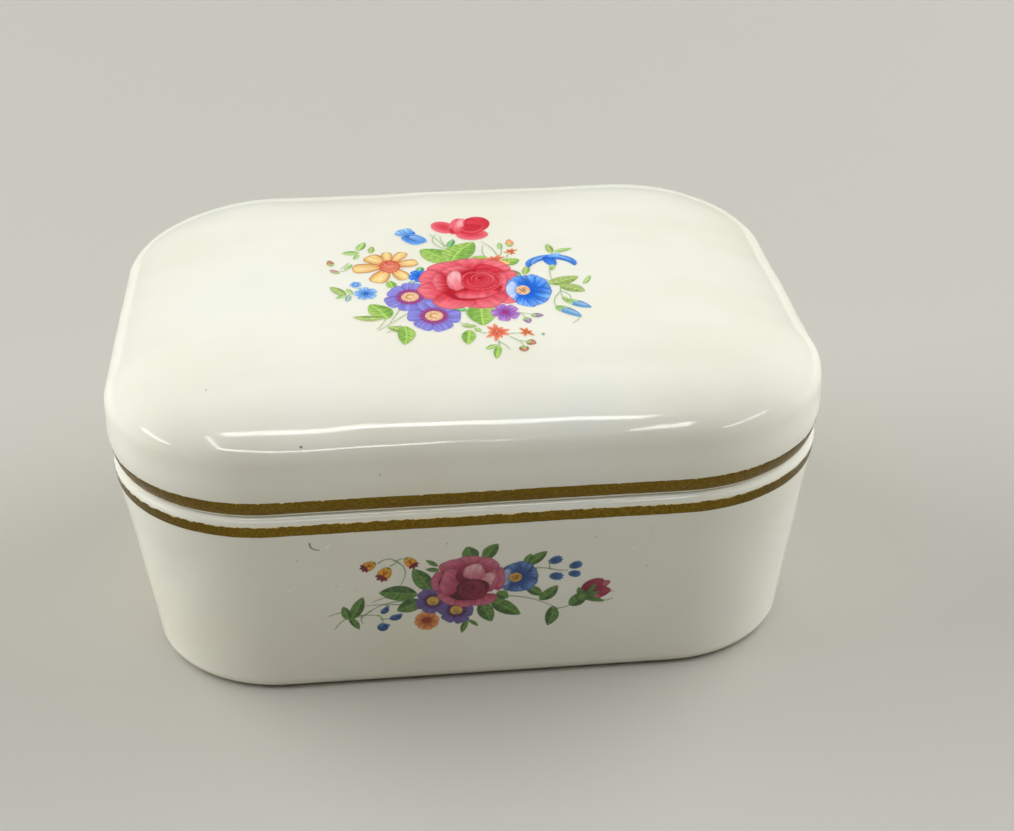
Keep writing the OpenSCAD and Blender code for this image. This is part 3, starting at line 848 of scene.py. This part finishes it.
def spray_small_flowers(p):
    amber = palette("7a1f0c", "f7c022", "e39418")
    lip = rgb("6e1610")
    for at, angle, size in (((-15.6, 24.8), 212, 2.0), ((-13.6, 23.7), 238, 2.3), ((-11.2, 25.5), 306, 2.0)):
        bell(p, at, angle, size, amber, lip, seed=3)
    navy = palette("1c3c6e", "355c92", "6f8eb6")
    for at, angle, size in (
        ((10.1, 22.8), 18, 1.7), ((13.2, 21.6), 18, 1.6), ((10.2, 20.1), 352, 1.7), ((13.1, 20.4), 350, 1.5),
    ):
        bell(p, at, angle, size, palette(navy.deep, navy.mid, navy.mid), navy.mid, seed=4)
    for at, rx, ry, turn in (
        ((-14.6, 15.2), 0.75, 0.55, 40), ((-13, 13.7), 0.95, 0.62, 10), ((-15, 11.9), 0.85, 0.85, 0),
    ):
        disc(p, at, rx, ry, navy.mid, navy.deep, turn=turn, light=navy.light, light_at=110, mottle=0.1)
        petal(p, at, turn + 20, 1.2, 0.7, navy.deep, navy.mid, soft=0.1, opacity=0.8)
    # rosebud at the end of the right stem
    deep, mid, light = CRIMSON.deep, CRIMSON.mid, CRIMSON.light
    for foot, angle, length, width, inner, outer in (
        ((15.4, 16.4), 24, 4.6, 2, mid, light), ((15.3, 16.6), 34, 3.9, 2.4, deep, mid),
        ((15.4, 15.9), 8, 4.4, 2.6, deep, mid), ((15.5, 16), -16, 2.7, 1.6, mid, light),
    ):
        petal(p, foot, angle, length, width, inner, outer, rim=deep, rim_w=0.1, narrow=0.5, blunt=0.65,
              seed=int(length * 9))
    for foot, angle, length, width in (
        ((15.8, 15.4), 58, 3, 0.9), ((15.6, 15.4), 340, 3.4, 1), ((15.6, 15.4), 20, 2.6, 0.9),
        ((15.4, 15.6), 110, 2, 1.2),
    ):
        petal(p, foot, angle, length, width, LEAF_DEEP[1], LEAF_DEEP[0], rim=LEAF_DEEP[1], narrow=0.5,
              blunt=0.8, seed=9)
    disc(p, (15.3, 15.5), 1.0, 1.0, *LEAF_DEEP)
    blush = palette("96401c", "cf7a2e", "e8a05c")
    for k in range(8):
        petal(p, (-8.3, 12.6), 45 * k + 10, 1.9, 1.25, blush.deep, blush.light, rim=blush.deep,
              rim_w=0.08, blunt=0.25, seed=k)
    disc(p, (-8.3, 12.7), 0.8, 0.7, rgb("8c2c1c"), blush.deep, mottle=0.2)


def wear_marks(p):
    """A brown scratch and a few pale nicks in the glaze under the gilt line."""
    stem(p, ((-25.0, 29.4), (-25.1, 28.2), (-23.7, 28.0)), 0.26, rgb("5e4830"), opacity=0.9)
    stem(p, ((-23.4, 28.1), (-22.6, 28.2), (-22.2, 29.0)), 0.24, rgb("fbfaf0"), opacity=0.9)
    for x, v, dx, dv in (
        (-8.6, 28.5, 0.9, 0.3), (-7.6, 28.7, 0.3, -0.5), (11.3, 25.6, 0.1, 0.8), (22.6, 24.6, 1.3, 0.4),
        (24.2, 26.4, 1.5, 0.7), (23.4, 25.8, 0.9, 0.2), (14, 12, 1.7, 0.5), (-18.9, 19.4, 0.2, 0.5),
        (-28.6, 20.2, 0.8, 0.5), (27.4, 13, 0.9, 0.2), (-12.4, 22, -0.7, -1.2), (5.2, 10.8, 0.9, 0.1),
    ):
        stem(p, ((x, v), (x + dx / 2, v + dv * 0.8), (x + dx, v + dv)), 0.20, rgb("fbfaf0"), opacity=0.85)
    for x, v in ((-21.6, 20.6), (25.0, 21.0), (-27.0, 26.2), (17.0, 27.4), (-5.0, 27.8)):
        disc(p, (x, v), 0.12, 0.12, rgb("8a7a60"), rgb("8a7a60"), soft=0.1, opacity=0.6)


def front_spray(step=0.09):
    p = Painting((-29.5, 9.2), (29.5, 30.2), step)
    wear_marks(p)
    spray_stems(p)
    spray_leaves(p)
    spray_small_flowers(p)
    daisy(p, (-7.3, 16.5), 2.6, VIOLET_DEEP, start=12, count=6, seed=3)
    daisy(p, (-3.8, 14.4), 2.7, VIOLET_DEEP, start=-10, count=6, seed=4)
    anemone(p, (5.5, 20.3), 3.0, NAVY, eye=(-0.12, 0.0), seed=2, count=7)
    rose(p, (-2.0, 19.9), 4.9, CRIMSON, CRIMSON_OUTER)
    rose(p, (-2.0, 19.9), 4.9, CRIMSON, CRIMSON_INNER)
    heart(p, (-1.4, 18.2), 2.0, palette(CRIMSON.deep, CRIMSON.mid * 0.8, CRIMSON.mid), turn=20)
    return p


# ---------------------------------------------------------------- materials
def nodes_of(name):
    material = bpy.data.materials.new(name)
    material.use_nodes = True
    tree = material.node_tree
    shader = next(n for n in tree.nodes if n.type == "BSDF_PRINCIPLED")
    return material, tree, shader


def feed(tree, made, **values):
    """Sets or links a node's sockets by name, with _ for a space; other names are its settings."""
    for key, value in values.items():
        socket = made.inputs.get(key.replace("_", " "))
        if socket is None:
            setattr(made, key, value)
        elif isinstance(value, bpy.types.NodeSocket):
            tree.links.new(value, socket)
        else:
            socket.default_value = value


def node(tree, kind, **values):
    made = tree.nodes.new("ShaderNode" + kind)
    feed(tree, made, **values)
    return made


def object_place(tree):
    return node(tree, "TexCoord").outputs["Object"]


def noise(tree, place, scale, detail, roughness=0.5, **values):
    """Noise over the object's own coordinates. Returns its strength socket."""
    made = node(tree, "TexNoise", Vector=place, Scale=scale, Detail=detail, Roughness=roughness, **values)
    return made.outputs["Fac"]


def bump(tree, shader, height, strength, distance):
    made = node(tree, "Bump", Height=height, Strength=strength, Distance=distance)
    tree.links.new(made.outputs["Normal"], shader.inputs["Normal"])


def maths(tree, operation, first, second):
    made = node(tree, "Math", operation=operation)
    tree.links.new(first, made.inputs[0])
    tree.links.new(second, made.inputs[1])
    return made.outputs[0]


def ramp(tree, source, stops):
    """A colour ramp from source; stops are (place, colour)."""
    made = node(tree, "ValToRGB", Fac=source)
    elements = made.color_ramp.elements
    while len(elements) < len(stops):
        elements.new(0.5)
    for element, (place, colour) in zip(elements, stops):
        element.position = place
        element.color = (*colour, 1)
    return made.outputs["Color"]


def grey(value):
    return (value, value, value)


def mix(tree, factor, low, high):
    """Colour mix; low and high are sockets or colours."""
    made = node(tree, "Mix", data_type="RGBA")
    for socket, value in ((made.inputs[0], factor), (made.inputs[6], low), (made.inputs[7], high)):
        if isinstance(value, bpy.types.NodeSocket):
            tree.links.new(value, socket)
        else:
            socket.default_value = value if not isinstance(value, tuple) else (*value, 1)
    return made.outputs[2]


GLAZE = (0.84, 0.815, 0.70)
GLAZE_WARM = (0.82, 0.78, 0.64)
GLAZE_COOL = (0.83, 0.82, 0.735)
PIT = (0.10, 0.07, 0.045)
# x, y, z and radius in mm of the darkest pits
PITS = ((-25.2, -44.4, 45.4, 0.28), (-38.5, -34.8, 50.3, 0.20), (-14.3, -45.3, 40.6, 0.14))
GILT_DARK, GILT, GILT_LIGHT = (0.125, 0.076, 0.009), (0.18, 0.112, 0.014), (0.28, 0.185, 0.032)
# pale colour along the gilt lines' upper edge: wear to the gilding and a painted highlight where the edge
# catches the light
GILT_WORN_AND_LIT = (0.72, 0.62, 0.36)


def glaze_colour(tree, place):
    """Ivory glaze: slow warm and cool drift and a few dark pits. Returns its colour socket."""
    colour = ramp(tree, noise(tree, place, 28.0, 3.0, 0.55),
                  [(0.3, GLAZE_WARM), (0.5, GLAZE), (0.72, GLAZE_COOL)])
    cells = node(tree, "TexVoronoi", Vector=place, Scale=95.0, Randomness=1.0)
    spots = ramp(tree, cells.outputs["Distance"], [(0.0, grey(1)), (0.012, grey(1)), (0.022, grey(0))])
    kept = ramp(tree, noise(tree, place, 60.0, 0.0), [(0.60, grey(0)), (0.64, grey(0.8))])
    pitted = maths(tree, "MULTIPLY", spots, kept)
    for x, y, z, radius in PITS:
        far = node(tree, "VectorMath", operation="DISTANCE")
        tree.links.new(place, far.inputs[0])
        far.inputs[1].default_value = (x * MM, y * MM, z * MM)
        near = node(tree, "MapRange", Value=far.outputs["Value"], From_Min=0.5 * radius * MM,
                    From_Max=radius * MM, To_Min=0.85, To_Max=0.0)
        pitted = maths(tree, "MAXIMUM", pitted, near.outputs[0])
    return mix(tree, pitted, colour, PIT)


def glaze_surface(tree, shader, place):
    """Gloss and slow ripple of a fired glaze, with faint wiping marks in the roughness."""
    wipe = noise(tree, place, 45.0, 4.0, 0.6, Distortion=0.4)
    rough = ramp(tree, wipe, [(0.35, grey(0.07)), (0.75, grey(0.13))])
    feed(tree, shader, IOR=1.5, Roughness=rough)
    bump(tree, shader, noise(tree, place, 230.0, 2.0), 0.25, 0.03 * MM)


def porcelain(name):
    material, tree, shader = nodes_of(name)
    place = object_place(tree)
    feed(tree, shader, Base_Color=glaze_colour(tree, place))
    glaze_surface(tree, shader, place)
    return material


def bisque():
    """Unglazed fired body, where the foot and the lid's seat were wiped clean."""
    material, tree, shader = nodes_of("unglazed_body")
    grit = noise(tree, object_place(tree), 900.0, 6.0, 0.65)
    colour = ramp(tree, grit, [(0.3, (0.50, 0.43, 0.31)), (0.62, (0.70, 0.64, 0.50))])
    rough = ramp(tree, grit, [(0.3, grey(0.85)), (0.7, grey(0.6))])
    feed(tree, shader, Base_Color=colour, Roughness=rough)
    bump(tree, shader, grit, 0.5, 0.03 * MM)
    return material


def gilding(name, edge_wear_and_glint):
    """Dark olive-gold lustre, finely grained, its upper edge pale in an uneven line, more so as the second
    argument grows: wear to the gilding together with a painted highlight where the edge catches the light.
    """
    material, tree, shader = nodes_of(name)
    place = object_place(tree)
    mottle = noise(tree, place, 2600.0, 3.0, 0.6)
    colour = ramp(tree, mottle, [(0.30, GILT_DARK), (0.52, GILT), (0.75, GILT_LIGHT)])
    # mask for a pale uneven line along the upper edge and a trace along the lower: wear and painted highlight
    # together
    across = node(tree, "Attribute", attribute_name="across").outputs["Fac"]
    edge = ramp(tree, across, [(0.0, grey(0.06)), (0.10, grey(0)), (1 - 0.5 * edge_wear_and_glint, grey(0)),
                               (1.0, grey(edge_wear_and_glint))])
    reach = maths(tree, "ADD", noise(tree, place, 900.0, 3.0, 0.7), edge)
    worn_and_lit_mask = ramp(tree, reach, [(0.80, grey(0)), (0.86, grey(1))])
    metal = ramp(tree, worn_and_lit_mask, [(0.0, grey(1)), (1.0, grey(0.35))])
    rough = ramp(tree, mottle, [(0.3, grey(0.40)), (0.75, grey(0.26))])
    feed(tree, shader, Base_Color=mix(tree, worn_and_lit_mask, colour, GILT_WORN_AND_LIT), Metallic=metal, Roughness=rough)
    bump(tree, shader, mottle, 0.35, 0.02 * MM)
    return material


def transfer_print(name):
    """The glaze with a fired flower print in it: the paint lies over the ivory by its cover."""
    material, tree, shader = nodes_of(name)
    place = object_place(tree)
    colour = glaze_colour(tree, place)
    cover = node(tree, "Attribute", attribute_name="cover").outputs["Fac"]
    paint = node(tree, "Attribute", attribute_name="paint").outputs["Color"]
    both = node(tree, "Mix", data_type="RGBA", blend_type="ADD")
    both.inputs[0].default_value = 1.0
    tree.links.new(mix(tree, cover, colour, grey(0.0)), both.inputs[6])
    tree.links.new(paint, both.inputs[7])
    feed(tree, shader, Base_Color=both.outputs[2])
    glaze_surface(tree, shader, place)
    return material


# ---------------------------------------------------------------- pieces
def make_lid(glaze, body):
    def slot_of(a, b):
        under = max(a[1], b[1]) <= SEAM_Z + LIP_EDGE_R * 0.5 and min(a[0], b[0]) > FLANGE_R - 0.01
        return 1 if under and max(a[1], b[1]) > FLANGE_Z + 1 else 0

    piece = shell("lid_shell", lid_outline(), [glaze, body], slot_of)
    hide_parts("lid")
    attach(piece, "lid")


def make_base(glaze, body):
    def slot_of(a, b):
        return 1 if max(a[1], b[1]) < 0.3 else 0

    piece = shell("base_shell", base_outline(), [glaze, body], slot_of)
    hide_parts("box_base")
    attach(piece, "base")


def wander(turn, rng, amount, waves):
    """An uneven edge: how far it strays at each turn round the box."""
    heights = [amount / (k + 1) ** 0.5 * np.sin(w * turn + rng.uniform(0, 6.28)) for k, w in enumerate(waves)]
    return sum(heights)


GILT_ROWS = (0, 0.01, 0.03, 0.07, 0.15, 0.35, 0.65, 0.85, 0.93, 0.97, 0.99, 1)   # shares of its width


def make_gilt_line(name, levels, radius_at, node_name, body_name, gilt):
    """A gilt line as a thin layer on the glaze, its edges a little uneven."""
    rng = np.random.default_rng(7)
    path = stations(60, 150, 100)
    count = len(path)
    turn = np.arange(count) / count * TAU
    low = levels[0] + GILT_INSET + wander(turn, rng, 0.02, (9, 31, 67, 131))
    high = levels[1] - GILT_INSET + wander(turn, rng, 0.02, (11, 37, 83, 151))
    points = np.empty((len(GILT_ROWS), count, 3))
    for i, share in enumerate(GILT_ROWS):
        z = low + (high - low) * share
        lift = GILT_T * math.sqrt(1 - abs(2 * share - 1) ** 12)
        r = np.array([radius_at(v) for v in z]) + lift + GILT_EDGE
        points[i, :, 0] = path[:, 0] + r * path[:, 2]
        points[i, :, 1] = path[:, 1] + r * path[:, 3]
        points[i, :, 2] = z
    work = Builder()
    work.sheet(points.reshape(-1, 3), len(GILT_ROWS), count, True)
    piece = work.make(name, [gilt], sharp=80.0, merge=False)
    across = piece.data.attributes.new("across", "FLOAT", "POINT")
    across.data.foreach_set("value", np.repeat(GILT_ROWS, count))
    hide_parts(node_name)
    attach(piece, body_name)


def on_lid(u, v):
    """Points and outward directions of the lid's top, for places on the print laid on it."""
    away = np.stack([u - np.clip(u, -CORE_X, CORE_X), v - np.clip(v, -CORE_Y, CORE_Y)], -1)
    r = np.linalg.norm(away, axis=-1)
    rise = DOME_H * np.sqrt(1 - (r / LID_R) ** 2)
    out = np.stack([away[..., 0] / LID_R**2, away[..., 1] / LID_R**2, rise / DOME_H**2], -1)
    return np.stack([u, v, SHOULDER_Z + rise], -1), out / np.linalg.norm(out, axis=-1, keepdims=True)


def on_front(u, v):
    """The same for the base's front wall; v runs up the leaning wall from the foot."""
    lean = math.atan2(TAPER, SEAM_Z)
    z = v * math.cos(lean)
    out = np.array([0.0, -math.cos(lean), -math.sin(lean)])
    return np.stack([u, -CORE_Y - wall_r(z), z], -1), np.broadcast_to(out, u.shape + (3,))


def linear(colour):
    return np.where(colour < 0.04045, colour / 12.92, ((colour + 0.055) / 1.055) ** 2.4)


def make_transfer(name, painting, place, material, body_name):
    """A print as a thin skin on the glaze, only where there is paint, with its colours held at its points."""
    points, out = place(painting.u, painting.v)
    points = moved(points.reshape(-1, 3)) + PRINT_T * out.reshape(-1, 3)
    rows, columns = painting.cover.shape
    index = np.arange(rows * columns).reshape(rows, columns)
    quads = np.stack([index[:-1, :-1], index[:-1, 1:], index[1:, 1:], index[1:, :-1]], -1).reshape(-1, 4)
    cover = painting.cover.ravel()
    quads = quads[cover[quads].max(axis=1) > 0.02]
    kept, quads = np.unique(quads, return_inverse=True)
    mesh = bpy.data.meshes.new(name)
    mesh.from_pydata((points[kept] * MM).tolist(), [], quads.reshape(-1, 4).tolist())
    mesh.materials.append(material)
    paint = linear(painting.colour.reshape(-1, 3)[kept]) * cover[kept, None]
    colours = mesh.attributes.new("paint", "FLOAT_COLOR", "POINT")
    colours.data.foreach_set("color", np.column_stack([paint, np.ones(len(kept))]).ravel())
    covers = mesh.attributes.new("cover", "FLOAT", "POINT")
    covers.data.foreach_set("value", cover[kept])
    mesh.shade_smooth()
    piece = add_object(name, mesh)
    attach(piece, body_name)


def make_floor():
    material, tree, shader = nodes_of("studio_floor")
    feed(tree, shader, Base_Color=(0.48, 0.46, 0.405, 1), Roughness=0.6)
    half = 4000
    work = Builder()
    work.sheet([(-half, -half, 0), (half, -half, 0), (-half, half, 0), (half, half, 0)], 2, 2, False)
    work.make("studio_floor", [material], merge=False)


# ---------------------------------------------------------------- camera and lights
CAMERA_AZIMUTH = -5.30
CAMERA_PITCH = 29.05
CAMERA_ROLL = -0.54
CAMERA_DISTANCE = 301.8
CAMERA_AIM = (8.1, 0.0, 23.9)
CAMERA_LENS = 63.04


def make_camera():
    a, e = math.radians(CAMERA_AZIMUTH), math.radians(CAMERA_PITCH)
    back = Vector((math.sin(a) * math.cos(e), -math.cos(a) * math.cos(e), math.sin(e)))
    data = bpy.data.cameras.new("camera")
    data.lens = CAMERA_LENS
    data.sensor_width = 36.0
    camera = add_object("camera", data)
    turn = (-back).to_track_quat("-Z", "Y").to_matrix().to_4x4()
    turn = turn @ Matrix.Rotation(math.radians(CAMERA_ROLL), 4, "Z")
    place = (Vector(CAMERA_AIM) + back * CAMERA_DISTANCE) * MM
    camera.matrix_world = Matrix.Translation(place) @ turn
    data.clip_start, data.clip_end = 0.01, 20
    bpy.context.scene.camera = camera


BOX_MIDDLE = (0, 0, 30)        # where the soft boxes aim
FRONT_EDGE = (0, -40, 45)      # where the tubes aim
TUBES = (                      # start, end, width and glow of the lit frame and the two low tubes
    ("frame_top_left", (-440, -340, 910), (-20, -380, 990), 100, 9.0),
    ("frame_top_right", (-20, -380, 990), (190, -500, 920), 100, 9.0),
    ("frame_bottom", (-580, -740, 570), (80, -940, 500), 70, 10.0),
    ("frame_left", (-570, -360, 830), (-560, -720, 570), 60, 7.0),
    ("frame_right", (160, -900, 530), (290, -700, 760), 60, 10.0),
    ("low_right", (600, -820, 360), (940, -370, 360), 80, 6.0),
    ("low_left", (-1010, 100, 300), (-960, -390, 260), 80, 7.0),
)


def area_light(name, place, aim, size, power, along=None, colour=(1, 1, 1)):
    """A rectangular light at place, facing aim, its first side running along. Places and sizes in mm."""
    data = bpy.data.lights.new(name, "AREA")
    data.shape = "RECTANGLE"
    data.size, data.size_y = size[0] * MM, size[1] * MM
    data.energy = power
    data.color = colour
    light = add_object(name, data)
    back = (Vector(place) - Vector(aim)).normalized()
    side = Vector(along) if along else Vector((0, 0, 1)).cross(back)
    side = (side - back * side.dot(back)).normalized()
    turn = Matrix((side, back.cross(side), back)).transposed()
    light.matrix_world = Matrix.Translation(Vector(place) * MM) @ turn.to_4x4()
    return light


def soft_box(name, place, size, power):
    """A broad cool light that shades the form but draws no patch in the glaze."""
    light = area_light(name, place, BOX_MIDDLE, size, power, colour=(0.95, 0.98, 1.0))
    light.visible_glossy = False
    return light


def strip_light(name, start, end, width, glow):
    """A tube of light from start to end in mm that only draws a highlight, glow being its brightness."""
    start, end = Vector(start), Vector(end)
    length = (end - start).length
    power = glow * math.pi * length * width * MM * MM
    light = area_light(name, (start + end) / 2, FRONT_EDGE, (length, width), power, along=end - start)
    light.visible_diffuse = False


def make_world():
    world = bpy.data.worlds.new("studio")
    world.use_nodes = True
    feed(world.node_tree, world.node_tree.nodes["Background"], Color=(0.98, 0.98, 0.96, 1), Strength=0.05)
    bpy.context.scene.world = world
    bpy.context.scene.view_settings.view_transform = "Standard"


def make_lights():
    """Soft boxes above, in front and at both sides, and tubes that draw the highlights."""
    soft_box("soft_top", (0, 40, 1300), (1700, 1320), 4.3).visible_glossy = True
    soft_box("soft_front", (0, -620, 1250), (1700, 900), 7.0)
    soft_box("soft_left", (-1250, 480, 600), (1700, 1300), 29.5)
    soft_box("soft_right", (1250, 480, 600), (1700, 1300), 29.0)
    for tube in TUBES:
        strip_light(*tube)


def main():
    glaze = porcelain("ivory_glaze")
    body = bisque()
    make_lid(glaze, body)
    make_base(glaze, body)
    make_gilt_line("lid_gilt_line", LID_GILT_Z, bulge_r, "lid_gilt_band", "lid",
                   gilding("lid_gilding", 0.28))
    make_gilt_line("base_gilt_line", BASE_GILT_Z, wall_r, "base_gilt_band", "base",
                   gilding("base_gilding", 0.42))
    flowers = transfer_print("printed_glaze")
    make_transfer("lid_bouquet_transfer", lid_bouquet(), on_lid, flowers, "lid")
    make_transfer("front_spray_transfer", front_spray(), on_front, flowers, "base")
    make_floor()
    make_camera()
    make_world()
    make_lights()


main()
